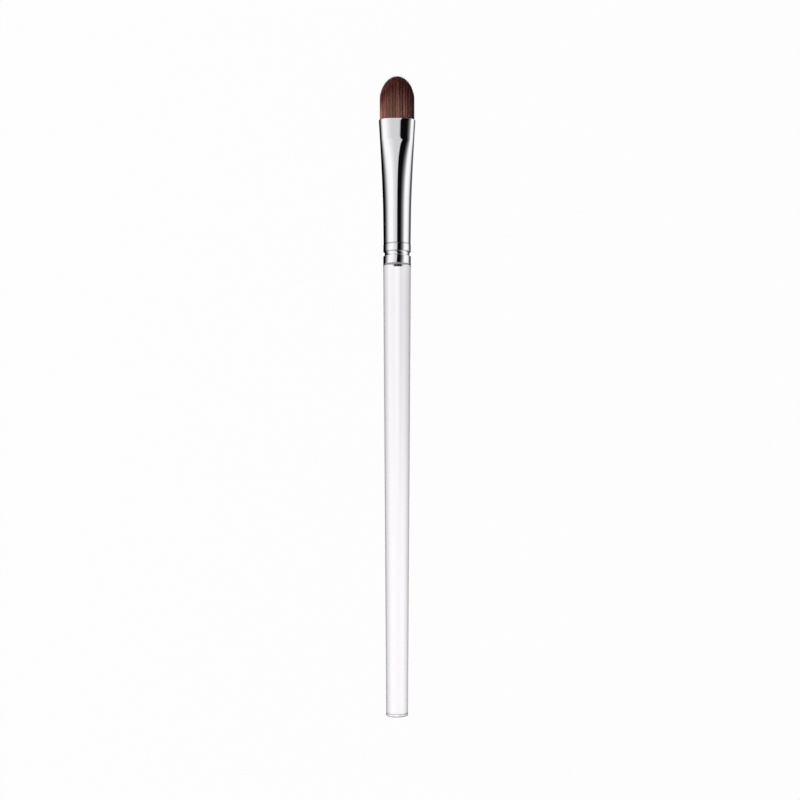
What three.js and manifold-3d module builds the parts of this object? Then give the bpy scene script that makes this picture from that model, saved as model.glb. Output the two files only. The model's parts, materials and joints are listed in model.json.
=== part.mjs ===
// Concealer brush: a clear tapered rod handle, a plated ferrule that is round at its foot and
// pressed to an oval at its mouth, and a filbert tuft of tapered filaments set in resin.
// Millimetres. The brush lies on a surface with the tuft's flat face up: +Y runs from the butt
// to the tuft's tip, and the origin is on the surface, under the middle of the length.

import * as THREE from "three";
import { mergeGeometries, mergeVertices } from "three/addons/utils/BufferGeometryUtils.js";
import Module from "manifold-3d";

// Handle
const HANDLE_LENGTH = 115.7; // butt face to shoulder
const BUTT_DIAMETER = 5.6;
const BUTT_EDGE_RADIUS = 0.25;
const SHOULDER_STEP = 0.015; // how far the shoulder stands proud of the ferrule's foot, all round
const TENON_LENGTH = 13;
const TENON_CHAMFER = 0.6;

// Ferrule, from its foot to its mouth
const FERRULE_LENGTH = 36.9;
const FERRULE_WALL = 0.25;
const FERRULE_EDGE = 0.08; // broken edge at the foot and the mouth
const FOOT_BAND_DIAMETER = 7.1;
const FOOT_BAND_LENGTH = 2;
const GROOVE_DIAMETER = 6.41; // at the bottom of the crimp
const GROOVE_LENGTH = 1.2;
const GROOVE_SQUARENESS = 6; // exponent of the crimp's profile: how steep its walls are
const RAISED_BAND_DIAMETER = 7.08;
const RAISED_BAND_LENGTH = 1.9;
const RAISED_BAND_EDGE = 0.2; // length of the band's rolled edge, at the neck
const NECK_DIAMETER = 6.96;
const ROUND_TUBE_LENGTH = 8.3; // from the raised band to where the pressing starts
const MOUTH_BLANK_DIAMETER = 7.8; // of the tapered tube before it is pressed
const MOUTH_WIDTH = 9.42;
const MOUTH_DEPTH = 5.7;
const MOUTH_SQUARENESS = 2.8; // exponent of the mouth's oval, 2 for an ellipse: how flat its faces are
const MOUTH_FLAT_LENGTH = 5.4; // straight pressed faces, from the crease to the mouth
const CREASE_STEP = 0.05; // how far the faces drop at the crease, beyond the pressing
const CREASE_STEP_LENGTH = 1.3;
const WIDEN_EASE = 1.5; // exponents of the pressing: how softly the tube starts to widen,
const PRESS_EASE = 2.4; // how softly its faces start to close
const FLAT_EASE = 4.5; // and how late they turn flat

// Glue and resin
const CEMENT_FILM = 0.1;
const CEMENT_MARGIN = 0.5; // bare tenon left at each end of the film
const RESIN_DEPTH = 12; // from the mouth to the bottom of the plug
const ROOT_SLICE_TOP = 2.6; // from the mouth down to where the filaments come free
const ROOT_SLICE_THICKNESS = 1;

// Tuft
const TUFT_LENGTH = 11.5; // mouth to tip
const DOME_HEIGHT = 6.3;
const TUFT_WAIST_DEPTH = 4; // front to back, half way up the longest filament
const TUFT_TIP_DEPTH = 1.4;
const CORNER_ROUNDING = 0.5; // share by which the front and back filaments fall short at the dome
const FILAMENT_DIAMETER = 0.26;
const FILAMENT_TAPER_START = 0.7; // share of its length where a filament starts to thin to its point
const FILAMENT_SPACING = 0.31; // centre to centre, where the roots leave the resin

// Clearances between pieces that fit inside each other or meet end to end
const RADIAL_CLEARANCE = 0.04;
const END_CLEARANCE = 0.05;

// Facets
const SIDES = 40;
const FLAT_SIDE_DOWN = Math.PI / SIDES; // turns a facet to the surface, so that the brush lies still
const BUTT_EDGE_STEPS = 4;
const GROOVE_STEPS = 8;
const RAISED_BAND_STEPS = 3;
const PRESS_STEPS = 8;
const CREASE_STEPS = 4;
const FLAT_STEPS = 2;
const FILAMENT_SIDES = 3;
const FILAMENT_TURN = Math.PI * (3 - Math.sqrt(5)); // from one filament to the next, so that no edges line up

// Places along the brush, from the butt face
const FOOT = HANDLE_LENGTH + END_CLEARANCE;
const GROOVE_START = FOOT + FOOT_BAND_LENGTH;
const RAISED_BAND_START = GROOVE_START + GROOVE_LENGTH;
const TUBE_START = RAISED_BAND_START + RAISED_BAND_LENGTH;
const PRESS_START = TUBE_START + ROUND_TUBE_LENGTH;
const MOUTH = FOOT + FERRULE_LENGTH;
const CREASE = MOUTH - MOUTH_FLAT_LENGTH;
const CREASE_STEP_START = CREASE - CREASE_STEP_LENGTH;
const TENON_END = HANDLE_LENGTH + TENON_LENGTH;
const ROOT_SLICE_END = MOUTH - ROOT_SLICE_TOP;
const ROOT_SLICE_START = ROOT_SLICE_END - ROOT_SLICE_THICKNESS;
const RESIN_START = MOUTH - RESIN_DEPTH;
const RESIN_END = ROOT_SLICE_START - END_CLEARANCE;
const DOME_START = MOUTH + TUFT_LENGTH - DOME_HEIGHT;
const TIP = MOUTH + TUFT_LENGTH;
const SHOULDER_DIAMETER = FOOT_BAND_DIAMETER + 2 * SHOULDER_STEP;
const AXIS_HEIGHT = (Math.max(SHOULDER_DIAMETER, RAISED_BAND_DIAMETER) / 2) * Math.cos(Math.PI / SIDES);

const { clamp, lerp } = THREE.MathUtils;

function share(value, from, to) {
  return clamp((value - from) / (to - from), 0, 1);
}

// Values from one place to another in equal steps, with both ends.
function steps(from, to, count) {
  return Array.from({ length: count + 1 }, (_, i) => lerp(from, to, i / count));
}

// Outer radius of the ferrule's round tube: foot band, crimp groove, raised band, then a cone.
function tubeRadius(place) {
  if (place <= GROOVE_START) return FOOT_BAND_DIAMETER / 2;
  if (place < RAISED_BAND_START) {
    const across = share(place, GROOVE_START, RAISED_BAND_START);
    const rim = lerp(FOOT_BAND_DIAMETER, RAISED_BAND_DIAMETER, across) / 2;
    return lerp(rim, GROOVE_DIAMETER / 2, 1 - Math.abs(2 * across - 1) ** GROOVE_SQUARENESS);
  }
  if (place < TUBE_START) {
    const down = share(place, TUBE_START - RAISED_BAND_EDGE, TUBE_START);
    return lerp(NECK_DIAMETER, RAISED_BAND_DIAMETER, Math.sqrt(1 - down * down)) / 2;
  }
  return lerp(NECK_DIAMETER, MOUTH_BLANK_DIAMETER, share(place, TUBE_START, MOUTH)) / 2;
}

// How far a place is through the pressing: fully from the crease on.
function closing(place) {
  return share(place, PRESS_START, CREASE);
}

// Half the ferrule's width and depth after pressing. The faces close in, drop at the crease and run
// straight from there, while the width goes on growing to the mouth.
function halfWidth(place) {
  const widening = (MOUTH_WIDTH - MOUTH_BLANK_DIAMETER) / 2;
  return tubeRadius(place) + widening * share(place, PRESS_START, MOUTH) ** WIDEN_EASE;
}

function halfDepth(place) {
  const drop = CREASE_STEP * share(place, CREASE_STEP_START, CREASE) ** 2;
  return lerp(tubeRadius(place), MOUTH_DEPTH / 2 + CREASE_STEP, closing(place) ** PRESS_EASE) - drop;
}

// Radius of the tenon: a plain turned end that passes the narrowest bore on its way in, drawn in
// where the crimp then bites.
function tenonRadius(place) {
  const narrowest = Math.min(FOOT_BAND_DIAMETER, RAISED_BAND_DIAMETER, NECK_DIAMETER) / 2;
  const boreAllowance = FERRULE_WALL + CEMENT_FILM + 2 * RADIAL_CLEARANCE;
  return Math.min(narrowest, tubeRadius(place)) - boreAllowance;
}

// Places where the ferrule's skin bends: closest at the crimp's walls and the band's rolled edge.
const grooveSteps = steps(0, Math.PI, GROOVE_STEPS).map((angle) =>
  lerp(GROOVE_START, RAISED_BAND_START, (1 - Math.cos(angle)) / 2),
);
const raisedBandSteps = steps(0, Math.PI / 2, RAISED_BAND_STEPS).map((angle) =>
  lerp(TUBE_START - RAISED_BAND_EDGE, TUBE_START, Math.sin(angle)),
);
const shankPlaces = [...grooveSteps, ...raisedBandSteps];
const pressPlaces = [
  ...steps(PRESS_START, CREASE_STEP_START, PRESS_STEPS),
  ...steps(CREASE_STEP_START, CREASE, CREASE_STEPS).slice(1),
  ...steps(CREASE, MOUTH, FLAT_STEPS).slice(1),
];

// Places of a list that lie inside a stretch, with the stretch's own ends.
function within(places, from, to) {
  return [from, ...places.filter((place) => place > from && place < to), to];
}

// A solid turned about the brush's axis from [radius, place] points.
function turned(profile) {
  const points = profile.map(([radius, place]) => new THREE.Vector2(radius, place));
  return new THREE.LatheGeometry(points, SIDES, FLAT_SIDE_DOWN);
}

// A point of the unit circle moved out towards its square, more so where the faces are pressed flat.
function squared(value, place) {
  const squareness = lerp(2, MOUTH_SQUARENESS, closing(place) ** FLAT_EASE);
  return Math.sign(value) * Math.abs(value) ** (2 / squareness);
}

// Presses a turned solid to the ferrule's oval, keeping each point's depth below the ferrule's skin.
function pressed(geometry) {
  const position = geometry.attributes.position;
  for (let i = 0; i < position.count; i++) {
    const [x, place, z] = [position.getX(i), position.getY(i), position.getZ(i)];
    const radius = Math.hypot(x, z);
    if (radius === 0) continue;
    const depth = tubeRadius(place) - radius;
    position.setX(i, squared(x / radius, place) * (halfWidth(place) - depth));
    position.setZ(i, squared(z / radius, place) * (halfDepth(place) - depth));
  }
  return geometry;
}

function handleGeometry() {
  const buttRadius = BUTT_DIAMETER / 2;
  const edge = steps(0, Math.PI / 2, BUTT_EDGE_STEPS).map((angle) => [
    buttRadius - BUTT_EDGE_RADIUS * (1 - Math.sin(angle)),
    BUTT_EDGE_RADIUS * (1 - Math.cos(angle)),
  ]);
  const tenon = within(shankPlaces, HANDLE_LENGTH, TENON_END - TENON_CHAMFER);
  return turned([
    [0, 0],
    ...edge,
    [SHOULDER_DIAMETER / 2, HANDLE_LENGTH],
    ...tenon.map((place) => [tenonRadius(place), place]),
    [tenonRadius(TENON_END) - TENON_CHAMFER, TENON_END],
    [0, TENON_END],
  ]);
}

function cementGeometry() {
  const places = within(shankPlaces, FOOT + CEMENT_MARGIN, TENON_END - TENON_CHAMFER - CEMENT_MARGIN);
  const outside = places.map((place) => [tubeRadius(place) - FERRULE_WALL - RADIAL_CLEARANCE, place]);
  const inside = places.map((place) => [tenonRadius(place) + RADIAL_CLEARANCE, place]).reverse();
  return turned([...outside, ...inside, outside[0]]);
}

function ferruleGeometry() {
  const places = within([...shankPlaces, ...pressPlaces], FOOT + FERRULE_EDGE, MOUTH - FERRULE_EDGE);
  const outside = places.map((place) => [tubeRadius(place), place]);
  const inside = places.map((place) => [tubeRadius(place) - FERRULE_WALL, place]).reverse();
  const rim = [
    [tubeRadius(MOUTH) - FERRULE_EDGE, MOUTH],
    [tubeRadius(MOUTH) - FERRULE_WALL + FERRULE_EDGE, MOUTH],
  ];
  const foot = [
    [tubeRadius(FOOT) - FERRULE_WALL + FERRULE_EDGE, FOOT],
    [tubeRadius(FOOT) - FERRULE_EDGE, FOOT],
  ];
  return pressed(turned([...outside, ...rim, ...inside, ...foot, outside[0]]));
}

// A solid that fills the ferrule's bore between two places.
function boreFill(from, to) {
  const fill = within(pressPlaces, from, to).map((place) => [
    tubeRadius(place) - FERRULE_WALL - RADIAL_CLEARANCE,
    place,
  ]);
  return pressed(turned([[0, from], ...fill, [0, to]]));
}

// Half the tuft's width and depth at a place, from the root slice to the tip.
function tuftHalfWidth(place) {
  const spare = FERRULE_WALL + RADIAL_CLEARANCE + FILAMENT_DIAMETER / 2;
  return halfWidth(Math.min(place, MOUTH)) - spare;
}

function tuftHalfDepth(place) {
  const root = MOUTH_DEPTH / 2 - FERRULE_WALL - RADIAL_CLEARANCE - FILAMENT_DIAMETER / 2;
  const waistPlace = (MOUTH + TIP) / 2;
  const lower = lerp(root, TUFT_WAIST_DEPTH / 2, share(place, ROOT_SLICE_END, waistPlace));
  return lerp(lower, TUFT_TIP_DEPTH / 2, share(place, waistPlace, TIP));
}

// One tapered filament. across and through are its place in the tuft's oval, from -1 to 1.
function filamentGeometry(across, through, turn) {
  const root = ROOT_SLICE_END - ROOT_SLICE_THICKNESS / 2;
  const reach = 1 - across * across - CORNER_ROUNDING * through * through;
  const tip = DOME_START + DOME_HEIGHT * Math.sqrt(Math.max(0, reach));
  const radius = FILAMENT_DIAMETER / 2;
  const profile = [
    new THREE.Vector2(0, 0),
    new THREE.Vector2(radius, 0),
    new THREE.Vector2(radius, FILAMENT_TAPER_START),
    new THREE.Vector2(0, 1),
  ];
  const filament = new THREE.LatheGeometry(profile, FILAMENT_SIDES, turn);
  const position = filament.attributes.position;
  for (let i = 0; i < position.count; i++) {
    const place = lerp(root, tip, position.getY(i));
    position.setXYZ(
      i,
      across * tuftHalfWidth(place) + position.getX(i),
      place,
      through * tuftHalfDepth(place) + position.getZ(i),
    );
  }
  return filament;
}

// Filaments packed in staggered rows over the oval of the root slice.
function filamentGeometries() {
  const width = tuftHalfWidth(ROOT_SLICE_END);
  const depth = tuftHalfDepth(ROOT_SLICE_END);
  const rowSpacing = (FILAMENT_SPACING * Math.sqrt(3)) / 2;
  const rows = Math.floor(depth / rowSpacing);
  const columns = Math.floor(width / FILAMENT_SPACING);
  const filaments = [];
  for (let row = -rows; row <= rows; row++) {
    const stagger = row % 2 === 0 ? 0 : 0.5;
    for (let column = -columns; column <= columns; column++) {
      const across = ((column + stagger) * FILAMENT_SPACING) / width;
      const through = (row * rowSpacing) / depth;
      const outward = Math.abs(across) ** MOUTH_SQUARENESS + Math.abs(through) ** MOUTH_SQUARENESS;
      const turn = filaments.length * FILAMENT_TURN;
      if (outward <= 1) filaments.push(filamentGeometry(across, through, turn));
    }
  }
  return filaments;
}

const wasm = await Module();
wasm.setup();

function toSolid(geometry) {
  geometry.deleteAttribute("normal");
  geometry.deleteAttribute("uv");
  const merged = mergeVertices(geometry);
  return new wasm.Manifold(
    new wasm.Mesh({
      numProp: 3,
      vertProperties: new Float32Array(merged.attributes.position.array),
      triVerts: new Uint32Array(merged.index.array),
    }),
  );
}

function toGeometry(solid) {
  const mesh = solid.getMesh();
  const geometry = new THREE.BufferGeometry();
  geometry.setAttribute("position", new THREE.BufferAttribute(mesh.vertProperties, mesh.numProp));
  geometry.setIndex(new THREE.BufferAttribute(mesh.triVerts, 1));
  return geometry;
}

// The filaments joined to the slice of resin that their roots stand in.
function tuftGeometry() {
  const rootSlice = toSolid(boreFill(ROOT_SLICE_START, ROOT_SLICE_END));
  const filaments = toSolid(mergeGeometries(filamentGeometries()));
  return toGeometry(rootSlice.add(filaments));
}

const brush = new THREE.Group();
brush.position.set(0, -TIP / 2, AXIS_HEIGHT);

function addPiece(name, geometry, finish) {
  geometry.computeVertexNormals();
  const mesh = new THREE.Mesh(geometry, new THREE.MeshStandardMaterial(finish));
  mesh.name = name;
  brush.add(mesh);
}

addPiece("handle", handleGeometry(), {
  color: 0xf4f5f6,
  roughness: 0.05,
  metalness: 0,
  transparent: true,
  opacity: 0.3,
});
addPiece("tenon_cement", cementGeometry(), { color: 0xe6dfc8, roughness: 0.4, metalness: 0 });
addPiece("ferrule", ferruleGeometry(), { color: 0xd4d4d8, roughness: 0.08, metalness: 1 });
addPiece("root_resin", boreFill(RESIN_START, RESIN_END), { color: 0xc9b48a, roughness: 0.3, metalness: 0 });
addPiece("filament_tuft", tuftGeometry(), { color: 0x53362f, roughness: 0.55, metalness: 0 });

export default brush;
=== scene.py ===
"""Concealer brush: a clear tapered rod handle, a plated ferrule pressed from round to oval and a filbert
tuft of brown filaments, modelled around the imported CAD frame. Metres, +Y from the butt to the tip."""

import json
import math

import bmesh
import bpy
import numpy as np
from bpy.props import FloatProperty, FloatVectorProperty, IntProperty, PointerProperty
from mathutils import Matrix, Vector


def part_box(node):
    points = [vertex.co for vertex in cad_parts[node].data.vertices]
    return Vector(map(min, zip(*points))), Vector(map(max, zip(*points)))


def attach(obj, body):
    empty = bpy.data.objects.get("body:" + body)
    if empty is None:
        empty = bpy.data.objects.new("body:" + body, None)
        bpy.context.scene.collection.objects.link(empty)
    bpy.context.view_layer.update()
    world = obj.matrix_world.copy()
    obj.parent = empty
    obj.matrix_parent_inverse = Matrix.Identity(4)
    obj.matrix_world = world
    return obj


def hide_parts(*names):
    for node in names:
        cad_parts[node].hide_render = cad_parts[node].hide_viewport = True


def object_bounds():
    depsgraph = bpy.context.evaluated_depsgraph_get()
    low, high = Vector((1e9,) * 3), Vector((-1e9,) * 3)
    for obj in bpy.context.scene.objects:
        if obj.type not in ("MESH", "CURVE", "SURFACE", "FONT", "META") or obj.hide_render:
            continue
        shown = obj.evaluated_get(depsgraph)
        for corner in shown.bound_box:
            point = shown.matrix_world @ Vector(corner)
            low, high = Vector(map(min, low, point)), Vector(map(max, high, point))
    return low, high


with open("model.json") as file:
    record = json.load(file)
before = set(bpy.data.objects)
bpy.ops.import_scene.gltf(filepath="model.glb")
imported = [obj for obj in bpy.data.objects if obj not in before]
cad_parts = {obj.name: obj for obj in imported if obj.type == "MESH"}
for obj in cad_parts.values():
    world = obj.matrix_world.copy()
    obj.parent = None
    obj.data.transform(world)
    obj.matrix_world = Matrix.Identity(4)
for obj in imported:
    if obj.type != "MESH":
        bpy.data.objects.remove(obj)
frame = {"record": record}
CAD_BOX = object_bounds()

bl_info = {
    "name": "Concealer Brush",
    "version": (1, 0, 0),
    "blender": (4, 5, 0),
    "location": "3D View > Sidebar > Brush",
    "description": "Models a concealer brush with a clear handle around its CAD frame",
    "category": "Object",
}

MM = 0.001
BODY = "root"

# The butt face's centre is the brush's one mount, and places along the brush are measured from it.
BUTT = Vector(frame["record"]["mounts"][0]["pos_m"])
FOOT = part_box("ferrule")[0].y - BUTT.y
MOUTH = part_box("ferrule")[1].y - BUTT.y
TIP = CAD_BOX[1].y - BUTT.y

# Sides of a ring, and steps from ring to ring over each stretch of the brush from the butt to the mouth.
SIDES = 128
BUTT_STEPS = 10
TAPER_STEPS = 16
SHOULDER_STEPS = 4
LIP_STEPS = 5
GROOVE_STEPS = 24
BAND_STEPS = 6
ROUND_STEPS = 6
PRESS_STEPS = 28
CREASE_STEPS = 12
FLAT_STEPS = 8

# The crease stays sharp between two rings this far from it, and points of a seam this close are merged.
CRISP = 0.03 * MM
SEAM = 0.001 * MM

# Faces that meet at less than this angle are shaded as one, and a plain ellipse has this squareness.
SMOOTH_ANGLE = math.radians(35)
ELLIPSE = 2
QUARTER = math.pi / 2

# The handle's finish: painted shade on the butt's top rim, a satin butt face, painted shadow under the
# joint.
# A patch has two distances from its middle: where it starts to fade, and where it has gone.
ACRYLIC_IOR = 1.49
RIM_HEIGHT = 0.2 * MM
RIM_RADIUS = 2.6 * MM
RIM_PAINTED_SHADE = 0.96
FACE_HEIGHT = 0.005 * MM
SATIN_SHARE = 0.7
SHADOW_ACROSS = 0.06 * MM
SHADOW_ALONG = FOOT - 0.19 * MM
SHADOW_WIDTH = (0.3 * MM, 0.5 * MM)
SHADOW_LENGTH = (0.23 * MM, 0.31 * MM)
BLACK = (0, 0, 0, 1)

# The ferrule's finish: faint smudges, and a painted shade line just before the raised band's end.
SMUDGE_SHADE = 0.97
PAINTED_LINE_BEFORE = 0.02 * MM
PAINTED_LINE_WIDTH = (0.14 * MM, 0.3 * MM)
PAINTED_LINE_SHADE = 0.66

# Bubbles in the glue and clouds in the resin.
BUBBLE_SIZE = 0.5 * MM
BUBBLE_SHADE = 0.97
CLOUD_SIZE = 0.9 * MM
CLOUD_SHADE = 0.7

# One filament: shares of its length, each with its radius there. The root share ends above the mouth.
FILAMENT_SIDES = 3
ROOT_SHARE = 0.25
FILAMENT_TAPER = [(0, 1), (ROOT_SHARE, 1), (0.5, 0.97), (0.7, 0.88), (0.85, 0.7), (0.95, 0.45), (1, 0.1)]
ON_AXIS = 1e-6

# The filaments' map has a strip for each tone at each warmth, and a filament fills the middle of its own.
STRAND_MAP = "OFBake"
TONE_STEPS = 8
HALF_STRIP = 0.3
WARM_CAST = (1.08, 0.94, 0.9, 1)
COOL_CAST = (0.94, 1.06, 1.08, 1)
DARKEST_TONE = 0.34
TONE_SPAN = 1.32

# Depth of the roots in the resin, and how far the filaments of a clump share their tips and tones.
ROOT_HOLD = 0.3 * MM
HIGHEST_TIP = 0.2
CLUMP_TIP = 0.5
CLUMP_GATHER = (0.5, 1.5)
CLUMP_TONE = 0.75
BEND_EASE = 0.35

# Lamps, floor and camera.
KEY_PLACE = (-0.62, 0.1, 0.3)
KEY_WIDTH = 0.34
FILL_PLACE = (0.08, -0.6, 0.1)
FILL_WIDTH = 0.15
PAPER = (0.2, 0.2, 0.2, 1)
FLOOR_GLOW = 0.98
NEAREST_SEEN = 0.01

# What the metal sees round the brush: degrees from straight up, positive to the right, and brightness.
METAL_STUDIO = [
    (-180, 0.12), (-165, 0.004), (-117, 0.003), (-108, 0.06), (-97, 0.225), (-87, 0.465), (-76, 0.755),
    (-64, 0.98), (-58, 1), (-37, 1), (-28, 0.88), (-18, 0.76), (-8, 0.65), (2.5, 0.65),
    (3.5, 0.003), (30, 0.004), (37, 0.055), (46, 0.17), (55, 0.42), (64, 0.82),
    (72, 1), (86, 1), (98, 0.93), (113, 0.66), (124, 0.09), (180, 0.12),
]
# The studio leans more to the right the further along the brush the metal looks.
STUDIO_LEAN = math.radians(25)
LEAN_FROM = 0.28
# Dark cards at both ends of the brush: between these directions along it, or aside, their edges fade.
CARD_SHADE = 0.06
BUTT_CARD = (-0.8, -0.55)
TUFT_CARD_START = (0.55, 0.8)
TUFT_CARD_END = (0.92, 0.98)
TUFT_CARD_SIDES = (0.3, 0.6)

# What shows through the handle: degrees from straight down, positive to the right, and brightness.
# The falloff is the same to both sides, and the floor turns greyer along the brush.
GLASS_FLOOR = [
    (-180, 1), (-80, 1), (-60, 0.8), (-8, 0.79), (-5, 0.97), (4, 0.98),
    (6, 0.905), (17, 0.905), (23, 0.99), (60, 0.97), (80, 1), (180, 1),
]
GLASS_FALLOFF = [
    (17, 1), (21, 0.98), (26, 0.93), (32, 0.85), (39, 0.77),
    (47, 0.71), (54, 0.58), (62, 0.45), (73, 0.45), (84, 1),
]
GREYER_TO_TUFT = (-0.12, 0.15)


def size(title, millimetres, words):
    """A length that a user can change."""
    return FloatProperty(
        name=title, description=words, default=millimetres * MM, unit="LENGTH", precision=5
    )


def number(title, value, words, unit="NONE"):
    """A plain number that a user can change."""
    return FloatProperty(name=title, description=words, default=value, unit=unit)


def tint(title, value, words):
    """A colour that a user can change."""
    return FloatVectorProperty(
        name=title, description=words, default=value, subtype="COLOR", size=3, min=0, max=1
    )


def share(value, start, end):
    """How far a value is on its way from start to end, from 0 to 1."""
    return np.clip((value - start) / (end - start), 0, 1)


def blend(start, end, part):
    """The value that far on the way from start to end."""
    return start + (end - start) * part


def steps(start, end, count):
    """Values from start to end in equal steps, with both ends."""
    return [blend(start, end, i / count) for i in range(count + 1)]


class HandleSizes(bpy.types.PropertyGroup):
    """The clear rod."""

    length: size("Length", 115.73, "Butt face to shoulder")
    butt_diameter: size("Butt diameter", 5.6, "Across the rod at its butt")
    butt_edge: size("Butt edge", 0.12, "Radius of the edge round the butt face")
    shoulder_diameter: size("Shoulder diameter", 7.13, "Across the rod where it meets the ferrule")
    shoulder_edge: size("Shoulder edge", 0.02, "Radius of the edge round the shoulder")
    tenon_length: size("Tenon length", 13, "Turned end inside the ferrule")
    tenon_chamfer: size("Tenon chamfer", 0.6, "Chamfer at the tenon's end")


class FerruleSizes(bpy.types.PropertyGroup):
    """The plated tube, from its foot to its mouth, with the glue and the resin in it."""

    wall: size("Wall", 0.25, "Thickness of the metal")
    mouth_edge: size("Mouth edge", 0.1, "Rounding of the metal's edges at the mouth")
    foot_edge: size("Foot edge", 0.05, "Rounding of the metal's edges at the foot")
    foot_diameter: size("Foot diameter", 7.1, "Across the plain band at the foot")
    foot_length: size("Foot length", 2, "Length of the plain band at the foot")
    groove_diameter: size("Groove diameter", 6.41, "Across the bottom of the crimp")
    groove_length: size("Groove length", 1.2, "Length of the crimp")
    groove_squareness: number("Groove squareness", 6, "How steep the crimp's walls are")
    band_diameter: size("Band diameter", 7.08, "Across the raised band")
    band_length: size("Band length", 1.9, "Length of the raised band")
    band_edge: size("Band edge", 0.2, "Length of the band's rolled edge")
    neck_diameter: size("Neck diameter", 6.96, "Across the tube above the raised band")
    round_length: size("Round length", 8.3, "Round tube above the raised band")
    blank_diameter: size("Blank diameter", 7.8, "Across the mouth before it is pressed")
    mouth_width: size("Mouth width", 9.42, "Width of the pressed mouth")
    mouth_depth: size("Mouth depth", 5.7, "Depth of the pressed mouth")
    mouth_squareness: number("Mouth squareness", 2.8, "How flat the mouth's faces are, 2 for an ellipse")
    flat_length: size("Flat length", 5.4, "Straight pressed faces, from the crease to the mouth")
    crease_step: size("Crease step", 0.05, "How far the faces drop at the crease")
    crease_length: size("Crease length", 1.3, "Length over which they drop")
    widen_ease: number("Widen ease", 1.5, "How softly the tube starts to widen")
    press_ease: number("Press ease", 2.4, "How softly the faces start to close")
    square_ease: number("Square ease", 4.5, "How late the faces turn flat")
    glue_film: size("Glue film", 0.1, "Thickness of the glue round the tenon")
    glue_margin: size("Glue margin", 0.02, "Bare tenon at each end of the glue")
    resin_depth: size("Resin depth", 12, "Mouth to the bottom of the resin")
    resin_top: size("Resin top", 2.6, "Mouth to the top of the resin")
    clearance: size("Clearance", 0.04, "Gap between pieces that fit inside each other")

    @property
    def groove_start(self):
        return FOOT + self.foot_length

    @property
    def band_start(self):
        return self.groove_start + self.groove_length

    @property
    def tube_start(self):
        return self.band_start + self.band_length

    @property
    def press_start(self):
        return self.tube_start + self.round_length

    @property
    def crease(self):
        return MOUTH - self.flat_length

    def tube_radius(self, place):
        """Outer radius before pressing: foot band, crimp groove, raised band, then a slow cone."""
        in_groove = share(place, self.groove_start, self.band_start)
        rim = blend(self.foot_diameter, self.band_diameter, in_groove) / 2
        wall = np.abs(2 * in_groove - 1) ** self.groove_squareness
        groove = blend(self.groove_diameter / 2, rim, wall)
        down = share(place, self.tube_start - self.band_edge, self.tube_start)
        band = blend(self.neck_diameter, self.band_diameter, np.sqrt(1 - down**2)) / 2
        cone = blend(self.neck_diameter, self.blank_diameter, share(place, self.tube_start, MOUTH)) / 2
        return np.where(place < self.band_start, groove, np.where(place < self.tube_start, band, cone))

    def half_width(self, place):
        """The skin's half width: the tube's radius, widened from where the pressing starts."""
        widening = (self.mouth_width - self.blank_diameter) / 2
        return self.tube_radius(place) + widening * share(place, self.press_start, MOUTH) ** self.widen_ease

    def closing(self, place):
        """How far the place is through the pressing: fully from the crease on."""
        return share(place, self.press_start, self.crease)

    def half_depth(self, place):
        """The skin's half depth: the faces close up to the crease and drop a little there."""
        crest = self.mouth_depth / 2 + self.crease_step
        pressed = blend(self.tube_radius(place), crest, self.closing(place) ** self.press_ease)
        drop = share(place, self.crease - self.crease_length, self.crease) ** 2
        return pressed - self.crease_step * drop

    def tenon_radius(self, place):
        """The tenon fills the bore, less the glue, and is drawn in where the crimp bites."""
        narrowest = min(self.foot_diameter, self.band_diameter, self.neck_diameter) / 2
        bore = min(narrowest, float(self.tube_radius(place))) - self.wall
        return bore - self.glue_film - 2 * self.clearance

    def ring(self, place, depth):
        """An oval ring of the ferrule, at a depth below its skin."""
        width = float(self.half_width(place)) - depth
        height = float(self.half_depth(place)) - depth
        flatness = float(self.closing(place)) ** self.square_ease
        return place, width, height, blend(ELLIPSE, self.mouth_squareness, flatness)

    def lip(self, start, outward, edge):
        """Rings over one end of the metal, from the skin to the bore, with both edges rounded."""
        rings = []
        for angle in steps(0, QUARTER, LIP_STEPS)[1:]:
            depth = edge * (1 - math.cos(angle))
            rings.append(self.ring(start + outward * edge * math.sin(angle), depth))
        for angle in steps(QUARTER, 0, LIP_STEPS):
            depth = self.wall - edge * (1 - math.cos(angle))
            rings.append(self.ring(start + outward * edge * math.sin(angle), depth))
        return rings

    def shank_places(self):
        """Places where the round end changes its diameter."""
        groove = [
            blend(self.groove_start, self.band_start, (1 - math.cos(angle)) / 2)
            for angle in steps(0, math.pi, GROOVE_STEPS)
        ]
        band = [
            blend(self.tube_start - self.band_edge, self.tube_start, math.sin(angle))
            for angle in steps(0, QUARTER, BAND_STEPS)
        ]
        return groove + band

    def skin_places(self, start, end):
        """Places of the ferrule's rings from start to end, close together where its skin bends."""
        drop = self.crease - self.crease_length
        places = [
            *self.shank_places(),
            *steps(self.tube_start, self.press_start, ROUND_STEPS),
            *steps(self.press_start, drop, PRESS_STEPS),
            *steps(drop, self.crease - CRISP, CREASE_STEPS),
            *steps(self.crease + CRISP, MOUTH, FLAT_STEPS),
        ]
        return [start, *sorted({place for place in places if start < place < end}), end]


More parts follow.
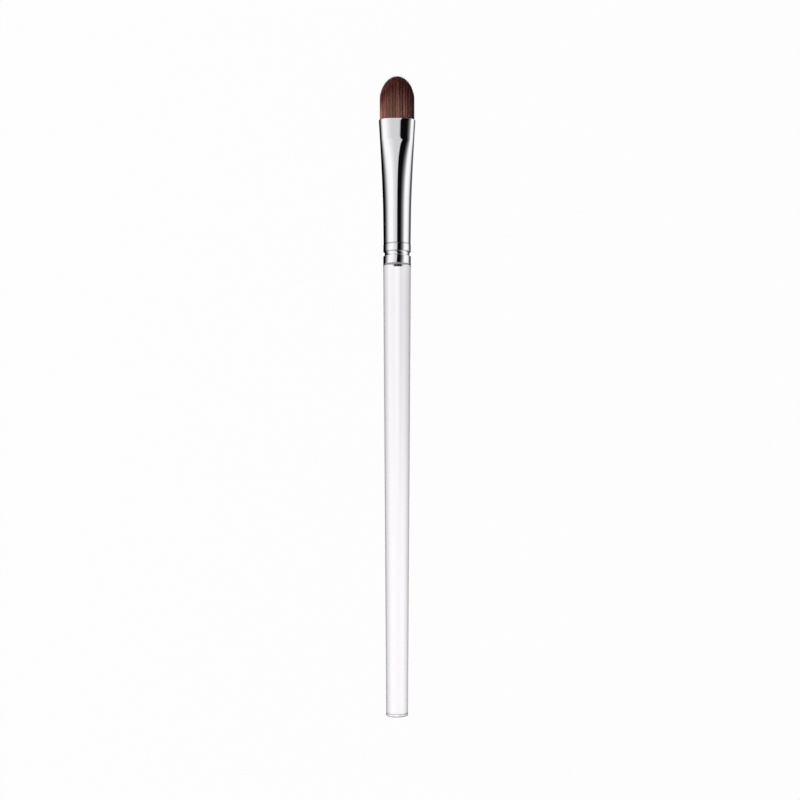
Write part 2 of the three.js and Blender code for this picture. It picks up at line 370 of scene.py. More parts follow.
class TuftSizes(bpy.types.PropertyGroup):
    """The bundle of filaments."""

    filament_count: IntProperty(
        name="Filaments", description="Filaments in the tuft", default=5600, min=100
    )
    filament_diameter: size("Filament diameter", 0.08, "Across a filament at its root")
    dome_height: size("Dome height", 6.3, "Height of the domed end")
    tip_depth: size("Tip depth", 1.4, "Front to back at the tip")
    depth_ease: number("Depth ease", 1.7, "How late the tuft thins to its tip")
    corner_rounding: number("Corner rounding", 0.5, "How much shorter the front and back rows are")
    clump_count: IntProperty(
        name="Clumps", description="Groups that the filaments gather in", default=520, min=1
    )
    clump_pull: number("Clump pull", 0.55, "Share by which tips gather to their clump")
    root_gap: size("Root gap", 0.35, "Shaded stretch of the filaments above the mouth")
    tip_rise: size("Tip rise", 0.15, "How far the finest tips stand above the dome")
    tip_jitter: size("Tip jitter", 0.05, "Spread of the filaments' ends round the dome")
    bow: size("Bow", 0.05, "How far a filament bends sideways")
    seed: IntProperty(name="Seed", description="Start of the random draws", default=7)


class Finishes(bpy.types.PropertyGroup):
    """Colours of the materials."""

    acrylic: tint("Acrylic", (0.995, 0.972, 0.998), "Clear handle")
    nickel: tint("Nickel", (0.975, 0.967, 1.0), "Plated ferrule")
    glue: tint("Glue", (0.98, 0.975, 0.97), "Cured glue round the tenon")
    resin: tint("Resin", (0.55, 0.42, 0.24), "Cast resin at the roots")
    filament_root: tint("Filament root", (0.2, 0.096, 0.07), "Filaments above the ferrule")
    filament_tip: tint("Filament tip", (0.09, 0.024, 0.02), "Ends of the filaments")
    backdrop: tint("Backdrop", (1, 1, 1), "Floor and background")


class StageSizes(bpy.types.PropertyGroup):
    """Camera, lamps and floor."""

    camera_x: size("Camera x", 0.75, "Camera to the right of the brush's axis")
    camera_y: size("Camera y", -14.245, "Camera along the brush, from its middle")
    camera_height: size("Camera height", 288.55, "Camera above the floor")
    lens: number("Lens", 49.9, "Focal length on a 36 mm sensor", unit="CAMERA")
    shift: number("Shift", 0.06375, "How far the picture is shifted towards the tuft")
    floor_width: size("Floor width", 4000, "Side of the square floor")
    ambient: number("Ambient", 0.2, "Brightness of the even light all round")
    ambient_side: number("Ambient side", 0.95, "How much more of it comes from the left")
    key_power: number("Key power", 15.0, "Soft lamp on the left", unit="POWER")
    fill_power: number("Fill power", 1.4, "Soft lamp behind the butt", unit="POWER")


class Wire:
    """A node's output socket. Arithmetic on it adds Math nodes to its tree."""

    def __init__(self, socket):
        self.socket = socket

    def node(self, kind, settings=None, sockets=None, output=0):
        """Adds a node of that kind to the tree, sets it up and returns one of its outputs."""
        return add_node(self.socket.id_data, kind, settings, sockets, output)

    def math(self, operation, *values):
        return self.node("ShaderNodeMath", {"operation": operation}, dict(enumerate(values)))

    def __add__(self, other):
        return self.math("ADD", self, other)

    def __radd__(self, other):
        return self.math("ADD", other, self)

    def __sub__(self, other):
        return self.math("SUBTRACT", self, other)

    def __rsub__(self, other):
        return self.math("SUBTRACT", other, self)

    def __mul__(self, other):
        return self.math("MULTIPLY", self, other)

    def __rmul__(self, other):
        return self.math("MULTIPLY", other, self)

    def __truediv__(self, other):
        return self.math("DIVIDE", self, other)

    def __rtruediv__(self, other):
        return self.math("DIVIDE", other, self)


def add_node(tree, kind, settings=None, sockets=None, output=0):
    """A new node: its settings first, a ramp's stops among them, then its sockets' values and links."""
    node = tree.nodes.new(kind)
    for name, value in (settings or {}).items():
        if name == "stops":
            set_stops(node.color_ramp, value)
        else:
            setattr(node, name, value)
    for name, value in (sockets or {}).items():
        if isinstance(value, Wire):
            tree.links.new(value.socket, node.inputs[name])
        else:
            node.inputs[name].default_value = value
    return Wire(node.outputs[output]) if node.outputs else None


def set_stops(ramp, stops):
    """Gives a ramp its stops: places from 0 to 1 with grey values or colours."""
    while len(ramp.elements) < len(stops):
        ramp.elements.new(1)
    for element, (place, value) in zip(ramp.elements, stops):
        element.position = place
        element.color = (*value, 1) if hasattr(value, "__len__") else (value, value, value, 1)


def new_material(name):
    """An empty material and its node tree."""
    material = bpy.data.materials.new(name)
    material.use_nodes = True
    material.node_tree.nodes.clear()
    return material, material.node_tree


def principled(tree, **sockets):
    """A Principled shader whose sockets take these values and links."""
    named = {
        name.replace("_", " ").title().replace("Ior", "IOR"): value for name, value in sockets.items()
    }
    return add_node(tree, "ShaderNodeBsdfPrincipled", sockets=named)


def finish_material(tree, shader):
    """Ends a tree with that shader."""
    add_node(tree, "ShaderNodeOutputMaterial", sockets={"Surface": shader})


def opaque(colour, shade=1):
    """A colour for a node's socket, or a darker shade of it."""
    return (*(shade * channel for channel in colour), 1)


def mix_colours(part, first, second):
    """A colour that far on the way from the first to the second."""
    return part.node(
        "ShaderNodeMix", {"data_type": "RGBA"}, {0: part, 6: first, 7: second}, output=2
    )


def bump(height, strength, distance):
    """A normal that follows that height."""
    return height.node(
        "ShaderNodeBump", sockets={"Height": height, "Strength": strength, "Distance": distance}
    )


def stretched_noise(tree, across, along, detail):
    """Noise on Object coordinates, with its own grain across the brush and along it."""
    place = add_node(tree, "ShaderNodeTexCoord", output="Object")
    scaled = place.node(
        "ShaderNodeMapping", sockets={"Vector": place, "Scale": (1 / across, 1 / along, 1 / across)}
    )
    return place.node(
        "ShaderNodeTexNoise", sockets={"Vector": scaled, "Scale": 1.0, "Detail": detail}, output="Fac"
    )


def split(vector):
    """The three parts of a vector."""
    return [
        vector.node("ShaderNodeSeparateXYZ", sockets={"Vector": vector}, output=axis) for axis in "XYZ"
    ]


def from_butt(tree):
    """Object coordinates measured from the middle of the butt face."""
    place = add_node(tree, "ShaderNodeTexCoord", output="Object")
    return split(place.node("ShaderNodeVectorMath", {"operation": "SUBTRACT"}, {0: place, 1: BUTT}))


def smooth_step(value, start, end):
    """0 up to the start and 1 from the end on, with a soft rise between them."""
    return value.node(
        "ShaderNodeMapRange",
        {"interpolation_type": "SMOOTHSTEP"},
        {"Value": value, "From Min": start, "From Max": end},
    )


def patch(value, middle, fades, gone):
    """1 round a middle, fading from one distance to the other."""
    return 1 - smooth_step(value.math("ABSOLUTE", value - middle), fades, gone)


def polished_acrylic(finishes):
    """Clear acrylic with hairlines, a satin butt face, painted shade on its top rim and under the joint."""
    material, tree = new_material("polished acrylic")
    hairlines = stretched_noise(tree, across=0.15 * MM, along=12 * MM, detail=3)
    haze = stretched_noise(tree, across=4 * MM, along=9 * MM, detail=2)
    x, y, z = from_butt(tree)
    radius = x.math("SQRT", x * x + z * z)
    on_rim = y.math("LESS_THAN", y, RIM_HEIGHT) * radius.math("GREATER_THAN", radius, RIM_RADIUS)
    # Painted shade: the clear base colour turns nearly black on the upper half of the rim round the butt.
    painted_rim_shade = on_rim * z.math("GREATER_THAN", z, 0)
    below = z.math("LESS_THAN", z, 0)
    # Painted contact shadow: a black patch on the underside of the rod at the joint, seen through the clear
    # rod.
    painted_shadow = below * patch(x, SHADOW_ACROSS, *SHADOW_WIDTH) * patch(y, SHADOW_ALONG, *SHADOW_LENGTH)
    dark = 1 - (1 - painted_shadow) * (1 - RIM_PAINTED_SHADE * painted_rim_shade)
    clear = principled(
        tree,
        base_color=mix_colours(dark, opaque(finishes.acrylic), BLACK),
        transmission_weight=1.0,
        ior=ACRYLIC_IOR,
        roughness=0.012 * hairlines * haze,
    )
    satin = principled(tree, base_color=opaque(finishes.acrylic), roughness=0.4)
    inside = add_node(tree, "ShaderNodeNewGeometry", output="Backfacing")
    on_face = y.math("LESS_THAN", y, FACE_HEIGHT) * (1 - inside)
    shader = clear.node("ShaderNodeMixShader", sockets={0: SATIN_SHARE * on_face, 1: clear, 2: satin})
    finish_material(tree, shader)
    return material


def nickel_plate(finishes, ferrule):
    """Bright nickel over drawn brass: lengthwise draw lines, smudges and a painted shade line at the band.
    """
    material, tree = new_material("nickel plate")
    draw_lines = stretched_noise(tree, across=0.22 * MM, along=30 * MM, detail=4)
    smudges = stretched_noise(tree, across=2.2 * MM, along=4 * MM, detail=3)
    plate = mix_colours(smudges, opaque(finishes.nickel, SMUDGE_SHADE), opaque(finishes.nickel))
    y = from_butt(tree)[1]
    # Painted shade: a darker line on the metal just before the raised band's end.
    painted_line = patch(y, ferrule.tube_start - PAINTED_LINE_BEFORE, *PAINTED_LINE_WIDTH)
    shader = principled(
        tree,
        base_color=mix_colours(painted_line, plate, opaque(finishes.nickel, PAINTED_LINE_SHADE)),
        metallic=1.0,
        roughness=0.018 + 0.02 * draw_lines + 0.016 * smudges,
        normal=bump(draw_lines, strength=0.5, distance=0.0006 * MM),
    )
    finish_material(tree, shader)
    return material


def cured_glue(finishes):
    """Pale glue with small bubbles."""
    material, tree = new_material("cured glue")
    place = add_node(tree, "ShaderNodeTexCoord", output="Object")
    bubbles = place.node(
        "ShaderNodeTexVoronoi", sockets={"Vector": place, "Scale": 1 / BUBBLE_SIZE}, output="Distance"
    )
    shader = principled(
        tree,
        base_color=mix_colours(bubbles, opaque(finishes.glue), opaque(finishes.glue, BUBBLE_SHADE)),
        roughness=0.25 + 0.2 * bubbles,
        normal=bump(bubbles, strength=0.1, distance=0.01 * MM),
    )
    finish_material(tree, shader)
    return material


def cast_resin(finishes):
    """Amber resin, cloudy where it was poured."""
    material, tree = new_material("cast resin")
    clouds = stretched_noise(tree, across=CLOUD_SIZE, along=CLOUD_SIZE, detail=4)
    shader = principled(
        tree,
        base_color=mix_colours(clouds, opaque(finishes.resin), opaque(finishes.resin, CLOUD_SHADE)),
        roughness=0.2 + 0.25 * clouds,
        normal=bump(clouds, strength=0.3, distance=0.05 * MM),
    )
    finish_material(tree, shader)
    return material


def tapered_filament(finishes):
    """Brown filament, darker to its tip. The map's strips give each filament a tone and a warmth."""
    material, tree = new_material("tapered filament")
    strip, along, _ = split(add_node(tree, "ShaderNodeUVMap", {"uv_map": STRAND_MAP}))
    index = strip.math("FLOOR", strip * TONE_STEPS**2)
    row = index.math("FLOOR", index / TONE_STEPS)
    warmth = row / (TONE_STEPS - 1)
    tone = (index - row * TONE_STEPS) / (TONE_STEPS - 1)
    root, tip = finishes.filament_root, finishes.filament_tip
    # Painted shade: the filaments are darkest inside the mouth and reach their own colour just above its
    # rim.
    shaded = [0.12 * channel for channel in root]
    middle = [blend(a, b, 0.45) for a, b in zip(root, tip)]
    end = [1.6 * channel for channel in tip]
    stops = [(0.2, shaded), (ROOT_SHARE, root), (0.34, root), (0.62, middle), (0.88, tip), (1, end)]
    colour = along.node("ShaderNodeValToRGB", {"stops": stops}, {"Fac": along})
    cast = mix_colours(warmth, COOL_CAST, WARM_CAST)
    tinted = colour.node("ShaderNodeVectorMath", {"operation": "MULTIPLY"}, {0: colour, 1: cast})
    light = DARKEST_TONE + TONE_SPAN * tone
    toned = tinted.node("ShaderNodeVectorMath", {"operation": "SCALE"}, {0: tinted, "Scale": light})
    shader = principled(tree, base_color=toned, roughness=0.5 - 0.12 * tone, specular_ior_level=0.4)
    finish_material(tree, shader)
    return material


def along_brush(place):
    """A place from the butt as a point on the brush's axis."""
    return Vector((BUTT.x, BUTT.y + place, BUTT.z))


def round_ring(place, radius):
    """A ring that is as deep as it is wide."""
    return place, radius, radius


def extrude_rings(name, rings):
    """Extrudes a circle through rings of place, half width and half depth, left in edit mode."""
    place, width, depth = rings[0][:3]
    bpy.ops.object.select_all(action="DESELECT")
    bpy.ops.mesh.primitive_circle_add(
        vertices=SIDES, radius=width, location=along_brush(place), rotation=(QUARTER, 0, 0)
    )
    bpy.ops.object.transform_apply(location=True, rotation=True, scale=True)
    piece = bpy.context.object
    piece.name = name
    piece.data.name = name
    bpy.ops.object.mode_set(mode="EDIT")
    bpy.ops.mesh.select_all(action="SELECT")
    bpy.ops.transform.resize(value=(1, 1, depth / width), center_override=along_brush(place))
    for before, after in zip(rings, rings[1:]):
        bpy.ops.mesh.extrude_region_move(
            TRANSFORM_OT_translate={"value": (0, after[0] - before[0], 0)}
        )
        bpy.ops.transform.resize(
            value=(after[1] / before[1], 1, after[2] / before[2]), center_override=along_brush(after[0])
        )
    return piece


def press_oval(piece, rings):
    """Moves the points of each ring from its ellipse out towards its corners, by the ring's squareness."""
    mesh = bmesh.from_edit_mesh(piece.data)
    mesh.verts.ensure_lookup_table()
    for index, (_, width, depth, squareness) in enumerate(rings):
        for vertex in mesh.verts[index * SIDES : (index + 1) * SIDES]:
            x, z = (vertex.co.x - BUTT.x) / width, (vertex.co.z - BUTT.z) / depth
            vertex.co.x = BUTT.x + width * squared(x, squareness)
            vertex.co.z = BUTT.z + depth * squared(z, squareness)
    bmesh.update_edit_mesh(piece.data)


def squared(value, squareness):
    """A point's place on a unit circle, moved to an oval of that squareness."""
    return math.copysign(abs(value) ** (ELLIPSE / squareness), value)


def close_solid(piece):
    """Fills the open ends of a solid body, in edit mode."""
    bpy.ops.mesh.select_all(action="DESELECT")
    mesh = bmesh.from_edit_mesh(piece.data)
    for edge in mesh.edges:
        edge.select_set(edge.is_boundary)
    bmesh.update_edit_mesh(piece.data)
    bpy.ops.mesh.fill_holes(sides=0)


def close_tube():
    """Joins the last ring of a tube's walls to the first one, which lies in the same place."""
    bpy.ops.mesh.select_all(action="SELECT")
    bpy.ops.mesh.remove_doubles(threshold=SEAM)


def face_outward():
    """Turns all faces out and leaves edit mode."""
    bpy.ops.mesh.select_all(action="SELECT")
    bpy.ops.mesh.normals_make_consistent(inside=False)
    bpy.ops.object.mode_set(mode="OBJECT")


def dress(piece, material, node):
    """Ends a piece that was modelled in edit mode: faces out, smooth shading and its finish."""
    face_outward()
    bpy.ops.object.shade_smooth_by_angle(angle=SMOOTH_ANGLE)
    finish_piece(piece, material, node)


def finish_piece(piece, material, node):
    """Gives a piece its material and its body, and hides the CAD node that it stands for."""
    piece.data.materials.clear()
    piece.data.materials.append(material)
    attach(piece, BODY)
    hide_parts(node)


class CONCEALER_OT_handle(bpy.types.Operator):
    """Turn the clear rod with its rounded butt edge and its tenon"""

    bl_idname = "concealer.handle"
    bl_label = "Handle"

    def execute(self, context):
        handle = context.scene.concealer_handle
        ferrule = context.scene.concealer_ferrule
        rings = []
        for angle in steps(0, QUARTER, BUTT_STEPS):
            radius = handle.butt_diameter / 2 - handle.butt_edge * (1 - math.sin(angle))
            rings.append(round_ring(handle.butt_edge * (1 - math.cos(angle)), radius))
        top = handle.length - handle.shoulder_edge
        for place in steps(handle.butt_edge, top, TAPER_STEPS)[1:]:
            part = share(place, handle.butt_edge, handle.length)
            radius = blend(handle.butt_diameter, handle.shoulder_diameter, part) / 2
            rings.append(round_ring(place, radius))
        for angle in steps(0, QUARTER, SHOULDER_STEPS)[1:]:
            radius = handle.shoulder_diameter / 2 - handle.shoulder_edge * (1 - math.cos(angle))
            rings.append(round_ring(top + handle.shoulder_edge * math.sin(angle), radius))
        end = handle.length + handle.tenon_length
        bare = end - handle.tenon_chamfer
        places = [place for place in ferrule.shank_places() if place < bare]
        for place in [handle.length, *places, bare]:
            rings.append(round_ring(place, ferrule.tenon_radius(place)))
        rings.append(round_ring(end, ferrule.tenon_radius(end) - handle.tenon_chamfer))
        piece = extrude_rings("acrylic_handle", rings)
        close_solid(piece)
        dress(piece, polished_acrylic(context.scene.concealer_finishes), "handle")
        return {"FINISHED"}


class CONCEALER_OT_glue(bpy.types.Operator):
    """Fill the gap between the tenon and the ferrule"""

    bl_idname = "concealer.glue"
    bl_label = "Glue film"

    def execute(self, context):
        handle = context.scene.concealer_handle
        ferrule = context.scene.concealer_ferrule
        start = FOOT + ferrule.glue_margin
        end = handle.length + handle.tenon_length - handle.tenon_chamfer - ferrule.glue_margin
        inner = [place for place in ferrule.shank_places() if start < place < end]
        places = [start, *inner, end]
        rings = [ferrule.ring(place, ferrule.wall + ferrule.clearance) for place in places]
        for place in reversed(places):
            rings.append(round_ring(place, ferrule.tenon_radius(place) + ferrule.clearance))
        piece = extrude_rings("glue_film", [*rings, rings[0]])
        close_tube()
        dress(piece, cured_glue(context.scene.concealer_finishes), "tenon_cement")
        return {"FINISHED"}


class CONCEALER_OT_ferrule(bpy.types.Operator):
    """Draw the tube, roll its band and crimp, press its mouth and round its edges"""

    bl_idname = "concealer.ferrule"
    bl_label = "Ferrule"

    def execute(self, context):
        ferrule = context.scene.concealer_ferrule
        start = FOOT + ferrule.foot_edge
        end = MOUTH - ferrule.mouth_edge
        places = ferrule.skin_places(start, end)
        skin = [ferrule.ring(place, 0) for place in places]
        bore = [ferrule.ring(place, ferrule.wall) for place in places[1:-1]]
        mouth = ferrule.lip(end, 1, ferrule.mouth_edge)
        foot = ferrule.lip(start, -1, ferrule.foot_edge)
        rings = [*skin, *mouth, *reversed(bore), *reversed(foot), skin[0]]
        piece = extrude_rings("plated_ferrule", rings)
        press_oval(piece, rings)
        close_tube()
        dress(piece, nickel_plate(context.scene.concealer_finishes, ferrule), "ferrule")
        return {"FINISHED"}


class CONCEALER_OT_resin(bpy.types.Operator):
    """Cast the plug that holds the filaments' roots"""

    bl_idname = "concealer.resin"
    bl_label = "Resin plug"

    def execute(self, context):
        ferrule = context.scene.concealer_ferrule
        depth = ferrule.wall + ferrule.clearance
        places = ferrule.skin_places(MOUTH - ferrule.resin_depth, MOUTH - ferrule.resin_top)
        rings = [ferrule.ring(place, depth) for place in places]
        piece = extrude_rings("resin_plug", rings)
        press_oval(piece, rings)
        close_solid(piece)
        dress(piece, cast_resin(context.scene.concealer_finishes), "root_resin")
        return {"FINISHED"}


class CONCEALER_OT_tuft(bpy.types.Operator):
    """Draw one tapered filament and set copies of it in clumps, domed to a filbert"""

    bl_idname = "concealer.tuft"
    bl_label = "Tuft"

    def execute(self, context):
        tuft = context.scene.concealer_tuft
        ferrule = context.scene.concealer_ferrule
        filament = self.draw_filament()
        points, faces, around = self.read_filament(filament)
        bpy.data.objects.remove(filament, do_unlink=True)
        draw = np.random.default_rng(tuft.seed)
        across, through = packed_oval(tuft.filament_count, ferrule.mouth_squareness)
        clump_across, clump_through = packed_oval(tuft.clump_count, ferrule.mouth_squareness)
        clump = self.nearest_clump(ferrule, across, through, clump_across, clump_through)
        tip = self.dome_tips(draw, tuft, across, through, clump)

        along = points[:, 1]
        root = MOUTH - ferrule.resin_top - ROOT_HOLD
        inside = blend(root, MOUTH + tuft.root_gap, share(along, 0, ROOT_SHARE))
        place = blend(inside[None, :], tip[:, None], share(along, ROOT_SHARE, 1)[None, :])
        gather = draw.uniform(*CLUMP_GATHER, tuft.clump_count)[clump] * tuft.clump_pull
        drawn = gather[:, None] * along[None, :] ** 2
        own_across = across[:, None] + (clump_across[clump] - across)[:, None] * drawn
        own_through = through[:, None] + (clump_through[clump] - through)[:, None] * drawn
        lean = draw.normal(0, 1, (2, tuft.clump_count))[:, clump]
        own_bow = draw.normal(0, 1, (2, tuft.filament_count))
        bend = (lean + own_bow) * tuft.bow
        curve = (along**2 * (1 - BEND_EASE * along))[None, :]
        thickness = tuft.filament_diameter / 2
        x = own_across * self.half_width(ferrule, tuft, place) + bend[0][:, None] * curve
        z = own_through * self.half_depth(ferrule, tuft, place) + bend[1][:, None] * curve
        x = x + points[None, :, 0] * thickness
        z = z + points[None, :, 2] * thickness
        places = np.stack([x + BUTT.x, place + BUTT.y, z + BUTT.z], axis=2)

        strip = self.pick_strips(draw, tuft, clump)
        piece = self.set_copies(places, faces, around, along, strip)
        finish_piece(
            piece, tapered_filament(context.scene.concealer_finishes), "filament_tuft"
        )
        return {"FINISHED"}

    def draw_filament(self):
        """One filament of unit radius and unit length along Y, tapered to a point."""
        bpy.ops.object.select_all(action="DESELECT")
        bpy.ops.mesh.primitive_circle_add(vertices=FILAMENT_SIDES, radius=1, rotation=(QUARTER, 0, 0))
        bpy.ops.object.transform_apply(location=True, rotation=True, scale=True)
        bpy.ops.object.mode_set(mode="EDIT")
        bpy.ops.mesh.select_all(action="SELECT")
        for (before, wide), (after, narrow) in zip(FILAMENT_TAPER, FILAMENT_TAPER[1:]):
            bpy.ops.mesh.extrude_region_move(TRANSFORM_OT_translate={"value": (0, after - before, 0)})
            bpy.ops.transform.resize(
                value=(narrow / wide, 1, narrow / wide), center_override=(0, after, 0)
            )
        bpy.ops.mesh.merge(type="CENTER")
        close_solid(bpy.context.object)
        face_outward()
        return bpy.context.object

    def read_filament(self, filament):
        """The filament's points, its faces, and each face corner's share of the way round it."""
        points = np.array([vertex.co for vertex in filament.data.vertices])
        faces = [list(face.vertices) for face in filament.data.polygons]
        around = []
        for face in filament.data.polygons:
            middle = math.atan2(face.center.z, face.center.x)
            for vertex in face.vertices:
                turn = math.atan2(points[vertex][2], points[vertex][0]) - middle
                turn = (turn + math.pi) % (2 * math.pi) - math.pi
                at_tip = math.hypot(points[vertex][0], points[vertex][2]) < ON_AXIS
                around.append(0.5 if at_tip else 0.5 + HALF_STRIP * np.sign(turn))
        return points, faces, np.array(around)

    def nearest_clump(self, ferrule, across, through, clump_across, clump_through):
        """The clump that each filament stands nearest to, measured in the mouth's oval."""
        slim = ferrule.mouth_depth / ferrule.mouth_width
        apart_x = across[:, None] - clump_across[None, :]
        apart_z = (through[:, None] - clump_through[None, :]) * slim
        return np.argmin(apart_x**2 + apart_z**2, axis=1)

    def dome_tips(self, draw, tuft, across, through, clump):
        """How far along the brush each filament ends: on a dome, a little uneven by clump and by itself."""
        reach = 1 - across**2 - tuft.corner_rounding * through**2
        dome = TIP + tuft.tip_rise - tuft.dome_height * (1 - np.sqrt(np.clip(reach, 0, 1)))
        clump_tip = draw.uniform(-1, 1, tuft.clump_count)
        own_tip = draw.uniform(-1, HIGHEST_TIP, tuft.filament_count)
        return dome + tuft.tip_jitter * (own_tip + CLUMP_TIP * np.minimum(clump_tip[clump], HIGHEST_TIP))

    def half_width(self, ferrule, tuft, place):
        """The bundle's half width: the bore's, and the mouth's from there on."""
        spare = ferrule.wall + tuft.filament_diameter / 2
        return ferrule.half_width(np.minimum(place, MOUTH)) - spare

    def half_depth(self, ferrule, tuft, place):
        """The bundle's half depth: the mouth's, thinning to the tip."""
        spare = ferrule.wall + ferrule.clearance + tuft.filament_diameter / 2
        root = ferrule.mouth_depth / 2 - spare
        return blend(root, tuft.tip_depth / 2, share(place, MOUTH, TIP) ** tuft.depth_ease)

    def pick_strips(self, draw, tuft, clump):
        """The map's strip for each filament: a tone that its clump shares in part, and its own warmth."""
        clump_tone = draw.uniform(0, 1, tuft.clump_count)[clump]
        tone = CLUMP_TONE * clump_tone + (1 - CLUMP_TONE) * draw.uniform(0, 1, tuft.filament_count)
        warmth = draw.integers(0, TONE_STEPS, tuft.filament_count)
        return warmth * TONE_STEPS + np.minimum((tone * TONE_STEPS).astype(int), TONE_STEPS - 1)

    def set_copies(self, places, faces, around, along, strip):
        """One mesh of all the copies, with the map that the filament finish reads."""
        count, points = places.shape[:2]
        corners = np.array([corner for face in faces for corner in face])
        totals = np.array([len(face) for face in faces])
        mesh = bpy.data.meshes.new("filaments")
        mesh.vertices.add(count * points)
        mesh.vertices.foreach_set("co", places.astype(np.float32).ravel())
        mesh.loops.add(count * len(corners))
        all_corners = (corners[None, :] + np.arange(count)[:, None] * points).ravel()
        mesh.loops.foreach_set("vertex_index", all_corners.astype(np.int32))
        mesh.polygons.add(count * len(faces))
        all_totals = np.tile(totals, count)
        starts = np.concatenate([[0], np.cumsum(all_totals)[:-1]])
        mesh.polygons.foreach_set("loop_start", starts.astype(np.int32))
        mesh.polygons.foreach_set("use_smooth", np.ones(count * len(faces), bool))
        sideways = (strip[:, None] + around[None, :]) / TONE_STEPS**2
        upward = np.broadcast_to(along[corners][None, :], sideways.shape)
        layer = mesh.uv_layers.new(name=STRAND_MAP)
        layer.uv.foreach_set("vector", np.stack([sideways, upward], axis=2).astype(np.float32).ravel())
        mesh.update(calc_edges=True)
        mesh.validate()
        piece = bpy.data.objects.new("filaments", mesh)
        bpy.context.scene.collection.objects.link(piece)
        return piece


def packed_oval(count, squareness):
    """That many points spread evenly over an oval of unit width and depth, on a golden spiral."""
    index = np.arange(2 * count)
    angle = index * math.pi * (3 - math.sqrt(5))
    radius = np.sqrt(index + 0.5)
    across, through = radius * np.cos(angle), radius * np.sin(angle)
    outward = np.abs(across) ** squareness + np.abs(through) ** squareness
    nearest = np.argsort(outward)[:count]
    reach = outward[nearest[-1]] ** (1 / squareness)
    return across[nearest] / reach, through[nearest] / reach


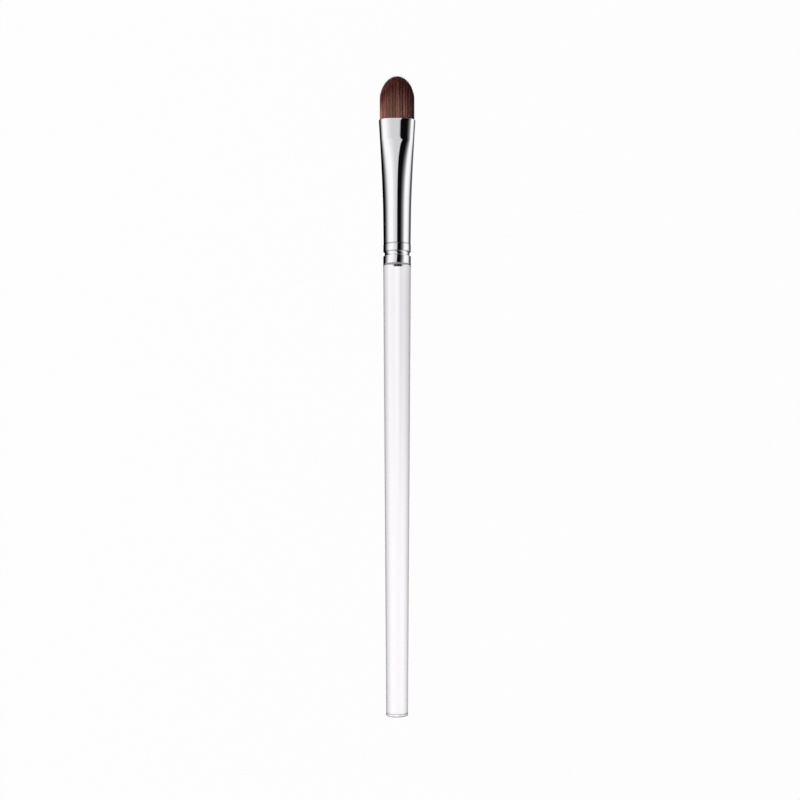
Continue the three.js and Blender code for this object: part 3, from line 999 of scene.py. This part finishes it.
class CONCEALER_OT_stage(bpy.types.Operator):
    """Lay the pale floor, set the lamps and surroundings, and place the camera above the brush"""

    bl_idname = "concealer.stage"
    bl_label = "Stage"

    def execute(self, context):
        stage = context.scene.concealer_stage
        white = opaque(context.scene.concealer_finishes.backdrop)
        context.scene.view_settings.view_transform = "Standard"
        self.lay_floor(stage, white)
        self.set_lamp("key lamp", KEY_PLACE, KEY_WIDTH, stage.key_power)
        self.set_lamp("fill lamp", FILL_PLACE, FILL_WIDTH, stage.fill_power)
        self.set_surroundings(context.scene, stage, white)
        place = (stage.camera_x, stage.camera_y, stage.camera_height)
        bpy.ops.object.camera_add(location=place, rotation=(0, 0, 0))
        camera = context.object
        camera.data.lens = stage.lens
        camera.data.shift_y = stage.shift
        camera.data.clip_start = NEAREST_SEEN
        context.scene.camera = camera
        return {"FINISHED"}

    def lay_floor(self, stage, white):
        """A floor that shows as the backdrop's white and keeps a faint shadow of the brush."""
        bpy.ops.object.select_all(action="DESELECT")
        bpy.ops.mesh.primitive_plane_add(size=stage.floor_width, location=(0, 0, CAD_BOX[0].z))
        floor = bpy.context.object
        floor.name = "floor"
        floor.visible_glossy = False
        floor.visible_transmission = False
        material, tree = new_material("pale floor")
        glow = add_node(tree, "ShaderNodeEmission", sockets={"Color": white, "Strength": 1.0})
        paper = add_node(tree, "ShaderNodeBsdfDiffuse", sockets={"Color": PAPER})
        seen = add_node(tree, "ShaderNodeLightPath", output="Is Camera Ray")
        shader = seen.node("ShaderNodeMixShader", sockets={0: seen * FLOOR_GLOW, 1: paper, 2: glow})
        finish_material(tree, shader)
        floor.data.materials.append(material)

    def set_lamp(self, name, place, width, power):
        """A square soft lamp that points at the brush and doesn't show in glossy surfaces."""
        bpy.ops.object.light_add(type="AREA", location=place)
        lamp = bpy.context.object
        lamp.name = name
        lamp.data.energy = power
        lamp.data.size = width
        lamp.rotation_euler = (-Vector(place)).to_track_quat("-Z", "Y").to_euler()
        lamp.visible_glossy = False
        lamp.visible_transmission = False

    def set_surroundings(self, scene, stage, white):
        """White all round for the camera; metal and glass see a white studio with dark screens in it."""
        world = bpy.data.worlds.new("studio")
        scene.world = world
        world.use_nodes = True
        tree = world.node_tree
        tree.nodes.clear()
        x, y, z = split(add_node(tree, "ShaderNodeTexCoord", output="Generated"))
        camera, glossy, through = (
            add_node(tree, "ShaderNodeLightPath", output=f"Is {kind} Ray")
            for kind in ("Camera", "Glossy", "Transmission")
        )
        mirrored = glossy * (1 - through)
        direct = camera + mirrored + through
        strength = (
            stage.ambient * (1 - stage.ambient_side * x) * (1 - direct)
            + camera
            + mirrored * self.studio_in_metal(x, y, z)
            + through * self.studio_in_glass(x, y, z)
        )
        light = add_node(tree, "ShaderNodeBackground", sockets={"Color": white, "Strength": strength})
        add_node(tree, "ShaderNodeOutputWorld", sockets={"Surface": light})

    def studio_in_metal(self, x, y, z):
        """Soft boxes left and right with a dark screen between them, and a dark card at each end."""
        lean = STUDIO_LEAN * (y - LEAN_FROM)
        around = self.round_ramp(x.math("ARCTAN2", x, z) - lean, METAL_STUDIO)
        behind_butt = 1 - smooth_step(y, *BUTT_CARD)
        lengthwise = smooth_step(y, *TUFT_CARD_START) * (1 - smooth_step(y, *TUFT_CARD_END))
        over_tuft = lengthwise * patch(x, 0, *TUFT_CARD_SIDES)
        return around + (CARD_SHADE - around) * (behind_butt + over_tuft)

    def studio_in_glass(self, x, y, z):
        """A pale floor, greyer beside the brush towards the tuft, and white at the horizon."""
        below = x.math("ARCTAN2", x, 0 - z)
        floor = self.round_ramp(below, GLASS_FLOOR)
        falloff = self.round_ramp(below.math("ABSOLUTE", below), GLASS_FALLOFF)
        return (1 - (1 - floor) * smooth_step(y, *GREYER_TO_TUFT)) * falloff

    def round_ramp(self, angle, stops):
        """Brightness by an angle round the brush: stops are degrees and grey values."""
        turn = angle / (2 * math.pi) + 0.5
        places = [(degrees / 360 + 0.5, value) for degrees, value in stops]
        return turn.node("ShaderNodeValToRGB", {"stops": places}, {"Fac": turn})


class CONCEALER_PT_panel(bpy.types.Panel):
    """Sizes, colours and steps of the brush"""

    bl_label = "Concealer Brush"
    bl_space_type = "VIEW_3D"
    bl_region_type = "UI"
    bl_category = "Brush"

    def draw(self, context):
        for name, operators in PANEL_ROWS.items():
            box = self.layout.box()
            for operator in operators:
                box.operator(operator.bl_idname)
            group = getattr(context.scene, name)
            for prop in group.bl_rna.properties:
                if not prop.is_readonly and prop.identifier != "name":
                    box.prop(group, prop.identifier)


GROUPS = {
    "concealer_handle": HandleSizes,
    "concealer_ferrule": FerruleSizes,
    "concealer_tuft": TuftSizes,
    "concealer_finishes": Finishes,
    "concealer_stage": StageSizes,
}
PANEL_ROWS = {
    "concealer_handle": [CONCEALER_OT_handle],
    "concealer_ferrule": [CONCEALER_OT_glue, CONCEALER_OT_ferrule, CONCEALER_OT_resin],
    "concealer_tuft": [CONCEALER_OT_tuft],
    "concealer_finishes": [],
    "concealer_stage": [CONCEALER_OT_stage],
}
OPERATORS = [operator for operators in PANEL_ROWS.values() for operator in operators]
CLASSES = [*GROUPS.values(), *OPERATORS, CONCEALER_PT_panel]


def register():
    for cls in CLASSES:
        bpy.utils.register_class(cls)
    for name, group in GROUPS.items():
        setattr(bpy.types.Scene, name, PointerProperty(type=group))


def unregister():
    for name in GROUPS:
        delattr(bpy.types.Scene, name)
    for cls in reversed(CLASSES):
        bpy.utils.unregister_class(cls)


def main():
    register()
    bpy.ops.concealer.handle()
    bpy.ops.concealer.glue()
    bpy.ops.concealer.ferrule()
    bpy.ops.concealer.resin()
    bpy.ops.concealer.tuft()
    bpy.ops.concealer.stage()


if __name__ == "__main__":
    main()
